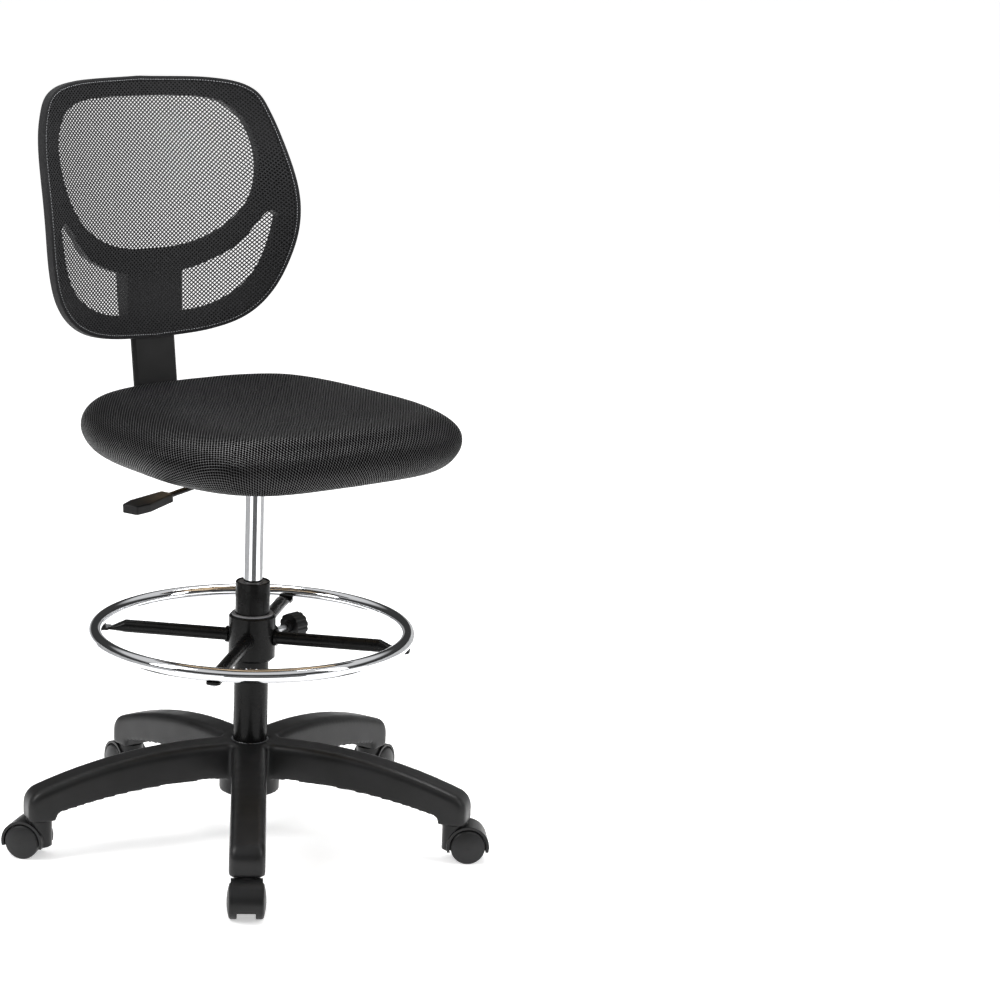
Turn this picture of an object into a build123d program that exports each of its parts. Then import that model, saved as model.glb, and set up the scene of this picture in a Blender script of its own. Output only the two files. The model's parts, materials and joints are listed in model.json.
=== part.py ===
from build123d import *
import math
import os

# Drafting chair: five-legged caster base, gas-lift column with a clamped foot ring,
# padded seat with a height lever, and a net backrest on a bent bar.
#
# Millimetres. The origin is on the floor under the column's axis, +Z is up, and the
# seat faces -Y, so the sitter's right hand is on the -X side.

os.makedirs("parts", exist_ok=True)

# ------------------------------------------------------------------ clearances
RUN = 0.05  # radial clearance of a shaft that turns or slides in its hole
GLIDE = 0.08  # radial clearance of the plastic sleeve on the column
GAP = 0.3  # between faces of different bodies that pass each other
FIT = 0.1  # between pieces that are fastened to each other

# ------------------------------------------------------------------ star base
LEG_COUNT = 5
LEG_START = -126.0  # direction of the first leg, degrees from +X
STEM_CIRCLE_R = 314.0  # caster stems from the column axis
HUB_R = 44.0
HUB_TOP = 150.0
HUB_BOTTOM = 72.0
LEG_WIDTH = 50.0
LEG_ROOT_DEPTH = 52.0  # depth of the leg where it joins the hub
LEG_NOSE = 17.0  # length of the curve that turns the leg's top down to its end
LEG_TIP_HALF = 19.5  # from the stem axis to the leg's end face
LEG_TIP_HEIGHT = 45.0  # depth of the leg over the caster stem
LEG_WALL = 5.0  # the legs are open channels underneath
LEG_EDGE_R = 11.0  # rounding along the leg's upper edges
SOCKET_BOTTOM = 58.0  # underside of the leg's end, above the floor
SOCKET_DEPTH = 36.0
LEG_SHOULDER_R = 60.0  # where the leg's arches start, from the column axis

# ------------------------------------------------------------------ casters
WHEEL_R = 25.0
WHEEL_WIDTH = 14.5
WHEEL_TREAD_WIDTH = 11.0  # flat tread before the outer face domes
WEB_WIDTH = 25.0  # body between the two wheels
HOOD_WALL = 4.0
HOOD_SPACE = 2.0  # radial space between tread and hood
HOOD_WIDTH = 44.0
CASTER_TRAIL = 18.0
HOUSING_R = 18.5
HOUSING_BOTTOM = 17.5
STEM_R = 5.5
STEM_LENGTH = 66.0
AXLE_R = 3.0
AXLE_IN_WHEEL = 11.0
CASTER_HEADINGS = (-126.0, -35.0, 24.0, 84.0, 125.6)  # trail of each caster, degrees

# ------------------------------------------------------------------ column
COLUMN_R = 25.0
COLUMN_WALL = 2.0
COLUMN_TOP = 388.0
COLUMN_FLOOR = 4.0  # thickness of the tube's closed lower end
LINER_WALL = 2.0
BUSH_LENGTH = 86.0
BUSH_RECESS = 2.0  # the bush sits this far under the column's rim

# ------------------------------------------------------------------ gas spring
TUBE_R = 14.0
TUBE_WALL = 2.0
TUBE_BOTTOM = 222.0
TUBE_TOP = 560.0
TUBE_CAP = 3.0
ROD_R = 5.0
ROD_TOP = 336.0
ROD_BELOW = 6.0  # rod below the column's lower end
GLAND_LENGTH = 14.0
PISTON_LENGTH = 14.0
BEARING_HEIGHT = 5.0
BUMP_HEIGHT = 14.0
CLIP_R = 9.0
CLIP_THICKNESS = 2.0
PIN_R = 4.0
PIN_LENGTH = 17.0

# ------------------------------------------------------------------ foot ring
RING_R = 226.5
RING_TUBE_R = 10.0
RING_WALL = 1.5
RING_Z = 312.5
SPOKE_COUNT = 4
SPOKE_START = -49.0
SPOKE_R = 9.5
SPOKE_COLLAR = 2.5  # the weld collar stands this proud of the spoke
SPOKE_COLLAR_LENGTH = 4.0
SPOKE_Z = 305.0
SPOKE_FLAT = 4.0
SPOKE_FLAT_WIDTH = 20.0
SPOKE_TAPER = 24.0
SPOKE_PAST = 7.0  # the flattened end reaches this far past the ring tube's middle
SPOKE_CORNER_R = 5.0
RING_HUB_R = 34.0
RING_HUB_BOTTOM = 271.0
RING_HUB_TOP = 338.0
SLEEVE_WALL = 3.0
SLEEVE_FLANGE = 2.0
SCREW_R = 2.4
SCREW_HEAD_R = 4.6
CLAMP_ANGLE = 8.0
CLAMP_Z = 305.0
CLAMP_BOSS_R = 9.0
CLAMP_BOSS_END = 45.0  # from the column axis
STUD_R = 4.0
PAD_R = 6.0
PAD_THICKNESS = 1.8
PAD_TRAVEL = 2.5
KNOB_R = 19.0
KNOB_LENGTH = 21.0
KNOB_FACE = 96.0  # outer face from the column axis
KNOB_LOBES = 12

# ------------------------------------------------------------------ seat
SEAT_HALF_WIDTH = 250.0
SEAT_FRONT = -262.0
SEAT_REAR = 228.0
SEAT_BOTTOM = 576.0
SEAT_THICKNESS = 69.0
COVER = 2.0
BOARD_THICKNESS = 12.0
BOARD_INSET = 38.0
HEM_INSET = 76.0  # the cover's hem ends here under the board
PLATE_LENGTH = 210.0
PLATE_WIDTH = 160.0
PLATE_THICKNESS = 3.0
HOUSING_HALF = 30.0
HOUSING_LENGTH = 90.0
HOUSING_DEPTH = 30.0
SOCKET_R = 20.0
SOCKET_LENGTH = 30.0
BOLT_R = 3.0
BOLT_HEAD_R = 6.5
BOLT_HEAD = 4.0
SEAT_BOLT_X = 65.0
SEAT_BOLT_Y = 85.0
TEE_R = 9.0
TEE_FLANGE = 1.5
TEE_WALL = 1.5

# ------------------------------------------------------------------ height lever
LEVER_R = 4.0
LEVER_Z = 569.0
LEVER_INNER = 8.0  # the rod ends this far past the column axis
LEVER_STRAIGHT = 16.0  # straight rod outside the housing before it drops clear of the plate
LEVER_BEND_R = 24.0
LEVER_PLAY = 0.9  # room round the rod in the housing's wall, which it tilts in
PADDLE_LENGTH = 82.0
PADDLE_ROOT_WIDTH = 22.0
PADDLE_TIP_WIDTH = 36.0
PADDLE_THICKNESS = 12.0
PADDLE_WIDEST = 0.72  # share of the length at which the paddle is widest
PADDLE_NOSE = 5.0  # how much each side draws in at the tip
PADDLE_CORNER_R = 4.0
PADDLE_GRIP = 14.0  # length of rod held inside the paddle
LEVER_BEND = (-104.0, -11.0, 545.0)
LEVER_END = (-184.0, -35.0, 540.0)

# ------------------------------------------------------------------ back
BACK_TILT = 8.0  # degrees back from upright
BACK_Y = 257.5  # front surface at the back's lower edge
BACK_Z = 704.0
BACK_HALF_WIDTH = 219.0
BACK_HEIGHT = 387.0
BACK_CURVE_R = 400.0  # plan radius of the front surface
BACK_REACH = 110.0  # depth that the outline is cut through, each way
LUMBAR_BULGE = 16.0
LUMBAR_HEIGHT = 183.0
LUMBAR_REACH = 150.0
FRAME_THICKNESS = 12.0
PIPING = 3.0
NET_THICKNESS = 1.2
STEM_HALF = 47.0
STEM_BOSS_DEPTH = 24.0
STEM_BOSS_HEIGHT = 128.0
SLEEVE_HALF = 37.5
SLEEVE_DEPTH = 3.0  # sleeve's front face behind the back's front surface
SLEEVE_THICKNESS = 12.0
SLEEVE_LOW = -98.0
SLEEVE_HIGH = 50.0
SLEEVE_BEVEL = 4.0
BAR_WIDTH = 60.0
BAR_THICKNESS = 6.0
BAR_BEND_R = 35.0
BAR_START = 52.0
BAR_HIGH = 122.0
BAR_BOLT_X = 18.0
BAR_BOLT_Y = 82.0
BACK_SCREW_X = 18.0
BACK_SCREW_HEIGHTS = (68.0, 104.0)
BACK_SCREW_R = 2.5
BACK_SCREW_HEAD_R = 5.0

# ------------------------------------------------------------------ derived places
COLUMN_BOTTOM = HUB_BOTTOM + 1.0
COLUMN_BORE = COLUMN_R - COLUMN_WALL
LINER_R = COLUMN_R + FIT + LINER_WALL
TUBE_BORE = TUBE_R - TUBE_WALL
SLEEVE_BORE = COLUMN_R + GLIDE
SLEEVE_R = SLEEVE_BORE + SLEEVE_WALL
HUB_BORE = SLEEVE_R + GLIDE
LEG_TIP = STEM_CIRCLE_R + LEG_TIP_HALF
HOOD_R = WHEEL_R + HOOD_SPACE + HOOD_WALL
BOARD_BOTTOM = SEAT_BOTTOM + COVER
BOARD_TOP = BOARD_BOTTOM + BOARD_THICKNESS
PLATE_BOTTOM = BOARD_BOTTOM - PLATE_THICKNESS
SEAT_MIDDLE = (SEAT_FRONT + SEAT_REAR) / 2
SEAT_HALF_DEPTH = (SEAT_REAR - SEAT_FRONT) / 2
SEAT_BOLT_SPOTS = [(x, y) for x in (-SEAT_BOLT_X, SEAT_BOLT_X) for y in (-SEAT_BOLT_Y, SEAT_BOLT_Y)]
BAR_BOLT_SPOTS = [(-BAR_BOLT_X, BAR_BOLT_Y), (BAR_BOLT_X, BAR_BOLT_Y)]
BOARD_BOLT_SPOTS = SEAT_BOLT_SPOTS + BAR_BOLT_SPOTS
UP = (Align.CENTER, Align.CENTER, Align.MIN)
DOWN = (Align.CENTER, Align.CENTER, Align.MAX)


def save(piece, name):
    """Label a finished piece and write it."""
    piece.part.label = name
    export_step(piece.part, f"parts/{name}.step")


# ================================================================== star base
with BuildPart() as leg:
    with BuildSketch(Plane.XZ):
        with BuildLine():
            shoulder = Line((0, HUB_TOP), (LEG_SHOULDER_R, HUB_TOP))
            upper = TangentArc(
                shoulder @ 1,
                (LEG_TIP - LEG_NOSE, SOCKET_BOTTOM + LEG_TIP_HEIGHT),
                tangent=shoulder % 1,
            )
            nose = TangentArc(
                upper @ 1,
                (LEG_TIP, SOCKET_BOTTOM + LEG_TIP_HEIGHT - 1.45 * LEG_NOSE),
                tangent=upper % 1,
            )
            end = Polyline(
                nose @ 1,
                (LEG_TIP, SOCKET_BOTTOM),
                (STEM_CIRCLE_R - LEG_TIP_HALF, SOCKET_BOTTOM),
                (STEM_CIRCLE_R - LEG_TIP_HALF - 3, SOCKET_BOTTOM + 11),
            )
            lower = ThreePointArc(
                end @ 1,
                (0.6 * STEM_CIRCLE_R, HUB_TOP - 60),
                (LEG_SHOULDER_R, HUB_TOP - LEG_ROOT_DEPTH),
            )
            Polyline(lower @ 1, (0, HUB_TOP - LEG_ROOT_DEPTH), (0, HUB_TOP))
        make_face()
    extrude(amount=LEG_WIDTH / 2, both=True)
    crest = leg.edges().filter_by(Axis.Y, reverse=True).filter_by(
        lambda e: e.center().X > 1 and e.center().Z > HUB_TOP - LEG_TIP_HEIGHT
    )
    tip = leg.edges().filter_by(Axis.Y, reverse=True).filter_by(
        lambda e: e.center().X > LEG_TIP - LEG_NOSE
    )
    fillet(crest + tip, radius=LEG_EDGE_R)
    with BuildSketch(Plane.XZ):
        with BuildLine():
            roof = TangentArc(
                (LEG_SHOULDER_R, HUB_TOP - LEG_WALL),
                (LEG_TIP - LEG_NOSE, SOCKET_BOTTOM + LEG_TIP_HEIGHT - LEG_WALL),
                tangent=(1, 0),
            )
            Polyline(
                roof @ 1,
                (LEG_TIP - LEG_NOSE, 0),
                (LEG_SHOULDER_R, 0),
                roof @ 0,
            )
        make_face()
        with Locations((STEM_CIRCLE_R - LEG_TIP_HALF - LEG_WALL, 0)):
            Rectangle(LEG_TIP, HUB_TOP, align=(Align.MIN, Align.MIN), mode=Mode.SUBTRACT)
    extrude(amount=LEG_WIDTH / 2 - LEG_WALL, both=True, mode=Mode.SUBTRACT)

with BuildPart() as star_base:
    with Locations((0, 0, HUB_BOTTOM)):
        Cylinder(HUB_R, HUB_TOP - HUB_BOTTOM, align=UP)
    with PolarLocations(0, LEG_COUNT, start_angle=LEG_START):
        add(leg.part)
    with Locations((0, 0, HUB_BOTTOM)):
        Cylinder(LINER_R + FIT, HUB_TOP, align=UP, mode=Mode.SUBTRACT)
    with PolarLocations(STEM_CIRCLE_R, LEG_COUNT, start_angle=LEG_START):
        with Locations((0, 0, SOCKET_BOTTOM)):
            Cylinder(STEM_R + RUN, SOCKET_DEPTH, align=UP, mode=Mode.SUBTRACT)
save(star_base, "star_base")

with BuildPart() as hub_liner:
    with Locations((0, 0, HUB_BOTTOM)):
        Cylinder(LINER_R, HUB_TOP - HUB_BOTTOM - 1, align=UP)
        Cylinder(COLUMN_R + FIT, HUB_TOP, align=UP, mode=Mode.SUBTRACT)
save(hub_liner, "hub_liner")

# ================================================================== column
with BuildPart() as column_tube:
    with Locations((0, 0, COLUMN_BOTTOM)):
        Cylinder(COLUMN_R, COLUMN_TOP - COLUMN_BOTTOM, align=UP)
    rim = column_tube.edges().sort_by(Axis.Z)[-1]
    chamfer(rim, length=COLUMN_WALL / 2)
    with Locations((0, 0, COLUMN_BOTTOM + COLUMN_FLOOR)):
        Cylinder(COLUMN_BORE, COLUMN_TOP, align=UP, mode=Mode.SUBTRACT)
    with Locations((0, 0, COLUMN_BOTTOM)):
        Cylinder(ROD_R + RUN, COLUMN_FLOOR, align=UP, mode=Mode.SUBTRACT)
save(column_tube, "column_tube")

with BuildPart() as guide_bush:
    with Locations((0, 0, COLUMN_TOP - BUSH_RECESS)):
        Cylinder(COLUMN_BORE - FIT, BUSH_LENGTH, align=DOWN)
        Cylinder(TUBE_R + RUN, BUSH_LENGTH, align=DOWN, mode=Mode.SUBTRACT)
    chamfer(guide_bush.edges().group_by(Axis.Z)[-1].sort_by(SortBy.RADIUS)[0], length=1.5)
save(guide_bush, "guide_bush")

# ================================================================== gas spring
ROD_BOTTOM = COLUMN_BOTTOM - ROD_BELOW
CLIP_Z = COLUMN_BOTTOM - GAP - CLIP_THICKNESS
BEARING_Z = COLUMN_BOTTOM + COLUMN_FLOOR + GAP
with BuildPart() as piston_rod:
    with Locations((0, 0, ROD_BOTTOM)):
        Cylinder(ROD_R, ROD_TOP - ROD_BOTTOM, align=UP)
    chamfer(piston_rod.edges().filter_by(GeomType.CIRCLE), length=0.8)
save(piston_rod, "piston_rod")

with BuildPart() as retaining_clip:
    with Locations((0, 0, CLIP_Z)):
        Cylinder(CLIP_R, CLIP_THICKNESS, align=UP)
        Cylinder(ROD_R + RUN, CLIP_THICKNESS, align=UP, mode=Mode.SUBTRACT)
save(retaining_clip, "retaining_clip")

with BuildPart() as thrust_bearing:
    with Locations((0, 0, BEARING_Z)):
        Cylinder(COLUMN_BORE - 5, BEARING_HEIGHT, align=UP)
        Cylinder(ROD_R + RUN, BEARING_HEIGHT, align=UP, mode=Mode.SUBTRACT)
    with BuildSketch(Plane.XZ):
        with Locations((COLUMN_BORE - 5, BEARING_Z + BEARING_HEIGHT / 2)):
            Circle(BEARING_HEIGHT / 4)
    revolve(axis=Axis.Z, mode=Mode.SUBTRACT)
save(thrust_bearing, "thrust_bearing")

with BuildPart() as bump_stop:
    with Locations((0, 0, BEARING_Z + BEARING_HEIGHT)):
        Cylinder(COLUMN_BORE - 8, BUMP_HEIGHT, align=UP)
        Cylinder(ROD_R + RUN, BUMP_HEIGHT, align=UP, mode=Mode.SUBTRACT)
    fillet(bump_stop.edges().group_by(Axis.Z)[-1].sort_by(SortBy.RADIUS)[-1], radius=3)
save(bump_stop, "bump_stop")

with BuildPart() as piston_head:
    with Locations((0, 0, ROD_TOP - 1)):
        Cylinder(TUBE_BORE - RUN, PISTON_LENGTH, align=DOWN)
        Cylinder(ROD_R + RUN, PISTON_LENGTH, align=DOWN, mode=Mode.SUBTRACT)
    with BuildSketch(Plane.XZ):
        with Locations((TUBE_BORE, ROD_TOP - 1 - PISTON_LENGTH / 2)):
            Rectangle(4, 3)
    revolve(axis=Axis.Z, mode=Mode.SUBTRACT)
save(piston_head, "piston_head")

with BuildPart() as gas_tube:
    with Locations((0, 0, TUBE_BOTTOM)):
        Cylinder(TUBE_R, TUBE_TOP - TUBE_BOTTOM, align=UP)
        Cylinder(TUBE_BORE, TUBE_TOP - TUBE_BOTTOM - TUBE_CAP, align=UP, mode=Mode.SUBTRACT)
    with Locations((0, 0, TUBE_TOP)):
        Cylinder(PIN_R + RUN, TUBE_CAP, align=DOWN, mode=Mode.SUBTRACT)
save(gas_tube, "gas_tube")

with BuildPart() as rod_gland:
    with Locations((0, 0, TUBE_BOTTOM)):
        Cylinder(TUBE_BORE - FIT, GLAND_LENGTH, align=UP)
        Cylinder(ROD_R + RUN, GLAND_LENGTH, align=UP, mode=Mode.SUBTRACT)
save(rod_gland, "rod_gland")

with BuildPart() as release_pin:
    with Locations((0, 0, LEVER_Z - LEVER_R - GAP)):
        Cylinder(PIN_R, PIN_LENGTH, align=DOWN)
    fillet(release_pin.edges().group_by(Axis.Z)[-1], radius=2)
save(release_pin, "release_pin")

# ================================================================== foot ring
SPOKE_PLATE_TOP = RING_Z - RING_TUBE_R - RUN
SPOKE_PLATE_START = RING_R - SPOKE_FLAT_WIDTH / 2 - 3
SPOKE_TAPER_START = SPOKE_PLATE_START - SPOKE_TAPER

with BuildPart() as foot_ring:
    with BuildSketch(Plane.XZ):
        with Locations((RING_R, RING_Z)):
            Circle(RING_TUBE_R)
            Circle(RING_TUBE_R - RING_WALL, mode=Mode.SUBTRACT)
    revolve(axis=Axis.Z)
    with PolarLocations(RING_R, SPOKE_COUNT, start_angle=SPOKE_START):
        with Locations((0, 0, RING_Z)):
            Cylinder(SCREW_R + FIT, RING_TUBE_R + 1, align=DOWN, mode=Mode.SUBTRACT)
save(foot_ring, "foot_ring")

with BuildPart() as spoke:
    with BuildSketch(Plane.YZ.offset(RING_HUB_R + FIT)):
        with Locations((0, SPOKE_Z)):
            Circle(SPOKE_R + SPOKE_COLLAR)
    extrude(amount=SPOKE_COLLAR_LENGTH)
    with BuildSketch(Plane.YZ.offset(RING_HUB_R + FIT)):
        with Locations((0, SPOKE_Z)):
            Circle(SPOKE_R)
    extrude(amount=SPOKE_TAPER_START - RING_HUB_R - FIT)
    with BuildSketch(Plane.YZ.offset(SPOKE_TAPER_START)):
        with Locations((0, SPOKE_Z)):
            Circle(SPOKE_R)
    with BuildSketch(Plane.YZ.offset(SPOKE_PLATE_START)):
        with Locations((0, SPOKE_PLATE_TOP - SPOKE_FLAT / 2)):
            Ellipse(SPOKE_FLAT_WIDTH / 2, SPOKE_FLAT / 2)
    loft()
    with BuildSketch(Plane.XY.offset(SPOKE_PLATE_TOP)):
        with Locations((SPOKE_PLATE_START, 0)):
            Rectangle(
                RING_R + SPOKE_PAST - SPOKE_PLATE_START,
                SPOKE_FLAT_WIDTH,
                align=(Align.MIN, Align.CENTER),
            )
        fillet(vertices().sort_by(Axis.X)[-2:], radius=SPOKE_CORNER_R)
        with Locations((RING_R, 0)):
            Circle(SCREW_R + FIT, mode=Mode.SUBTRACT)
    extrude(amount=-SPOKE_FLAT)

with BuildPart() as ring_spokes:
    with PolarLocations(0, SPOKE_COUNT, start_angle=SPOKE_START):
        add(spoke.part)
save(ring_spokes, "ring_spokes")

with BuildPart() as ring_screws:
    with PolarLocations(RING_R, SPOKE_COUNT, start_angle=SPOKE_START):
        with Locations((0, 0, SPOKE_PLATE_TOP - SPOKE_FLAT)):
            Cylinder(SCREW_HEAD_R, 2.6, align=DOWN)
            Cylinder(SCREW_R, SPOKE_FLAT + RING_WALL + 3, align=UP)
save(ring_screws, "ring_screws")

with BuildPart() as ring_hub:
    with BuildSketch(Plane.XZ):
        with BuildLine():
            Polyline(
                (HUB_BORE, RING_HUB_BOTTOM),
                (RING_HUB_R - 4, RING_HUB_BOTTOM),
                (RING_HUB_R, RING_HUB_BOTTOM + 4),
                (RING_HUB_R, RING_HUB_TOP - 2),
                (RING_HUB_R - 2, RING_HUB_TOP),
                (HUB_BORE, RING_HUB_TOP),
                close=True,
            )
        make_face()
    revolve(axis=Axis.Z)
    clamp_plane = Plane(
        origin=(0, 0, CLAMP_Z),
        x_dir=(0, 0, 1),
        z_dir=(math.cos(math.radians(CLAMP_ANGLE)), math.sin(math.radians(CLAMP_ANGLE)), 0),
    )
    with BuildSketch(clamp_plane.offset(HUB_BORE + 1)):
        Circle(CLAMP_BOSS_R)
    extrude(amount=CLAMP_BOSS_END - HUB_BORE - 1)
    with BuildSketch(clamp_plane.offset(HUB_BORE - 4)):
        Circle(STUD_R + GLIDE)
    extrude(amount=CLAMP_BOSS_END, mode=Mode.SUBTRACT)
    with BuildSketch(clamp_plane.offset(HUB_BORE - 4)):
        Circle(PAD_R + GLIDE)
    extrude(amount=4 + GAP + PAD_THICKNESS + PAD_TRAVEL + 0.4, mode=Mode.SUBTRACT)
save(ring_hub, "ring_hub")

with BuildPart() as ring_sleeve:
    with Locations((0, 0, RING_HUB_BOTTOM + 2)):
        Cylinder(SLEEVE_R, RING_HUB_TOP - RING_HUB_BOTTOM - 2 + GAP, align=UP)
    with Locations((0, 0, RING_HUB_TOP + GAP)):
        Cylinder(SLEEVE_R + 2, SLEEVE_FLANGE, align=UP)
    with Locations((0, 0, RING_HUB_BOTTOM)):
        Cylinder(SLEEVE_BORE, RING_HUB_TOP, align=UP, mode=Mode.SUBTRACT)
save(ring_sleeve, "ring_sleeve")

PAD_START = SLEEVE_R + GAP
with BuildPart() as clamp_pad:
    with BuildSketch(clamp_plane.offset(PAD_START)):
        Circle(PAD_R)
    extrude(amount=PAD_THICKNESS)
save(clamp_pad, "clamp_pad")

with BuildPart() as knob_stud:
    with BuildSketch(clamp_plane.offset(PAD_START + PAD_THICKNESS + RUN)):
        Circle(STUD_R)
    extrude(amount=KNOB_FACE - 5 - PAD_START - PAD_THICKNESS)
save(knob_stud, "knob_stud")

with BuildPart() as clamp_knob:
    with BuildSketch(clamp_plane.offset(KNOB_FACE - KNOB_LENGTH)):
        Circle(KNOB_R)
        with PolarLocations(KNOB_R + 2.2, KNOB_LOBES):
            Circle(3.4, mode=Mode.SUBTRACT)
    extrude(amount=KNOB_LENGTH)
    with BuildSketch(clamp_plane.offset(KNOB_FACE - KNOB_LENGTH)):
        Circle(8)
    extrude(amount=-7)
    with BuildSketch(clamp_plane.offset(KNOB_FACE - KNOB_LENGTH - 8)):
        Circle(STUD_R + RUN)
    extrude(amount=KNOB_LENGTH + 8 - 4, mode=Mode.SUBTRACT)
save(clamp_knob, "clamp_knob")


# ================================================================== seat
def seat_section(height, inset):
    """The seat's outline at one height, drawn in from its widest outline."""
    across = 1 - inset / SEAT_HALF_WIDTH
    along = 1 - inset / SEAT_HALF_DEPTH

    def place(x_share, y_share):
        x = SEAT_HALF_WIDTH * across * x_share
        y = SEAT_MIDDLE + SEAT_HALF_DEPTH * along * y_share
        return (x, y)

    with BuildSketch(Plane.XY.offset(height)) as section:
        with BuildLine():
            Spline(
                place(0, -1),
                place(0.50, -0.97),
                place(0.84, -0.83),
                place(0.99, -0.46),
                place(1, 0),
                place(0.95, 0.46),
                place(0.76, 0.82),
                place(0.42, 0.97),
                place(0, 1),
                tangents=((1, 0), (-1, 0)),
            )
            mirror(about=Plane.YZ)
        make_face()
    return section.sketch


def seat_solid(skin):
    """The padded seat's closed shape, shrunk by a skin's thickness on every side."""
    levels = (
        (SEAT_BOTTOM + skin, 32 + skin),
        (SEAT_BOTTOM + 0.30 * SEAT_THICKNESS, 4 + skin),
        (SEAT_BOTTOM + 0.53 * SEAT_THICKNESS, skin),
        (SEAT_BOTTOM + 0.81 * SEAT_THICKNESS, 12 + skin),
        (SEAT_BOTTOM + SEAT_THICKNESS - skin, 46 + skin),
    )
    with BuildPart() as solid:
        loft(sections=[seat_section(height, inset) for height, inset in levels])
    return solid.part


with BuildPart() as seat_board:
    extrude(seat_section(BOARD_BOTTOM, BOARD_INSET), amount=BOARD_THICKNESS, dir=(0, 0, 1))
    with Locations((0, 0, BOARD_TOP)):
        with Locations(*BOARD_BOLT_SPOTS):
            Cylinder(TEE_R + FIT, TEE_FLANGE + FIT, align=DOWN, mode=Mode.SUBTRACT)
            Cylinder(BOLT_R + TEE_WALL + FIT, BOARD_THICKNESS, align=DOWN, mode=Mode.SUBTRACT)
save(seat_board, "seat_board")

with BuildPart() as tee_nuts:
    with Locations((0, 0, BOARD_TOP - FIT)):
        with Locations(*BOARD_BOLT_SPOTS):
            Cylinder(TEE_R, TEE_FLANGE, align=DOWN)
            Cylinder(BOLT_R + TEE_WALL, BOARD_THICKNESS - 2, align=DOWN)
            Cylinder(BOLT_R + RUN, BOARD_THICKNESS, align=DOWN, mode=Mode.SUBTRACT)
save(tee_nuts, "tee_nuts")

with BuildPart() as seat_cover:
    add(seat_solid(0))
    add(seat_solid(COVER), mode=Mode.SUBTRACT)
    hem = seat_section(SEAT_BOTTOM - 1, HEM_INSET)
    extrude(hem, amount=COVER + 2, dir=(0, 0, 1), mode=Mode.SUBTRACT)
save(seat_cover, "seat_cover")

with BuildPart() as seat_foam:
    add(seat_solid(COVER + GAP))
    board_space = seat_section(SEAT_BOTTOM - 1, BOARD_INSET - GAP)
    space_height = BOARD_TOP + GAP - SEAT_BOTTOM + 1
    extrude(board_space, amount=space_height, dir=(0, 0, 1), mode=Mode.SUBTRACT)
save(seat_foam, "seat_foam")

with BuildPart() as seat_plate:
    with Locations((0, 0, BOARD_BOTTOM)):
        Box(PLATE_WIDTH, PLATE_LENGTH, PLATE_THICKNESS, align=DOWN)
    with Locations((0, 0, PLATE_BOTTOM)):
        Box(2 * HOUSING_HALF, HOUSING_LENGTH, HOUSING_DEPTH + PLATE_THICKNESS, align=DOWN)
        Box(
            2 * HOUSING_HALF - 2 * PLATE_THICKNESS,
            HOUSING_LENGTH,
            HOUSING_DEPTH,
            align=DOWN,
            mode=Mode.SUBTRACT,
        )
    with Locations((0, 0, TUBE_TOP)):
        Cylinder(SOCKET_R, SOCKET_LENGTH, align=DOWN)
        Cylinder(TUBE_R + FIT, SOCKET_LENGTH, align=DOWN, mode=Mode.SUBTRACT)
    with Locations((-HOUSING_HALF, 0, LEVER_Z)):
        Cylinder(
            LEVER_R + LEVER_PLAY, 4 * PLATE_THICKNESS, rotation=(0, 90, 0), mode=Mode.SUBTRACT
        )
    with Locations((0, 0, BOARD_BOTTOM)):
        with Locations(*BOARD_BOLT_SPOTS):
            Cylinder(BOLT_R + FIT, PLATE_THICKNESS, align=DOWN, mode=Mode.SUBTRACT)
save(seat_plate, "seat_plate")

with BuildPart() as seat_bolts:
    with Locations((0, 0, PLATE_BOTTOM)):
        with Locations(*SEAT_BOLT_SPOTS):
            Cylinder(BOLT_HEAD_R, BOLT_HEAD, align=DOWN)
            Cylinder(BOLT_R, PLATE_THICKNESS + BOARD_THICKNESS - 1, align=UP)
save(seat_bolts, "seat_bolts")

# ================================================================== height lever
with BuildPart() as lever_rod:
    with BuildLine() as lever_path:
        FilletPolyline(
            (LEVER_INNER, 0, LEVER_Z),
            (-HOUSING_HALF - LEVER_STRAIGHT, 0, LEVER_Z),
            LEVER_BEND,
            LEVER_END,
            radius=LEVER_BEND_R,
        )
    with BuildSketch(Plane(origin=(LEVER_INNER, 0, LEVER_Z), z_dir=(-1, 0, 0))):
        Circle(LEVER_R)
    sweep(path=lever_path.wire())
save(lever_rod, "lever_rod")

reach = Vector(*LEVER_END) - Vector(*LEVER_BEND)
across = Vector(0, 0, 1).cross(reach)
paddle_plane = Plane(origin=LEVER_END, x_dir=reach, z_dir=reach.cross(across))
paddle_wide = PADDLE_WIDEST * PADDLE_LENGTH - PADDLE_GRIP
paddle_end = PADDLE_LENGTH - PADDLE_GRIP
with BuildPart() as lever_paddle:
    with BuildSketch(paddle_plane.offset(-PADDLE_THICKNESS / 2)):
        with BuildLine():
            Polyline(
                (-PADDLE_GRIP, -PADDLE_ROOT_WIDTH / 2),
                (paddle_wide, -PADDLE_TIP_WIDTH / 2),
                (paddle_end, PADDLE_NOSE - PADDLE_TIP_WIDTH / 2),
                (paddle_end, PADDLE_TIP_WIDTH / 2 - PADDLE_NOSE),
                (paddle_wide, PADDLE_TIP_WIDTH / 2),
                (-PADDLE_GRIP, PADDLE_ROOT_WIDTH / 2),
                close=True,
            )
        make_face()
        fillet(vertices(), radius=PADDLE_CORNER_R)
    extrude(amount=PADDLE_THICKNESS)
    fillet(lever_paddle.faces().sort_by(Axis.Z)[-1].edges(), radius=PADDLE_CORNER_R / 2)
    with BuildSketch(Plane(origin=LEVER_END, z_dir=reach)):
        Circle(LEVER_R + RUN)
    extrude(amount=-2 * PADDLE_GRIP, mode=Mode.SUBTRACT)
save(lever_paddle, "lever_paddle")

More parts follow.
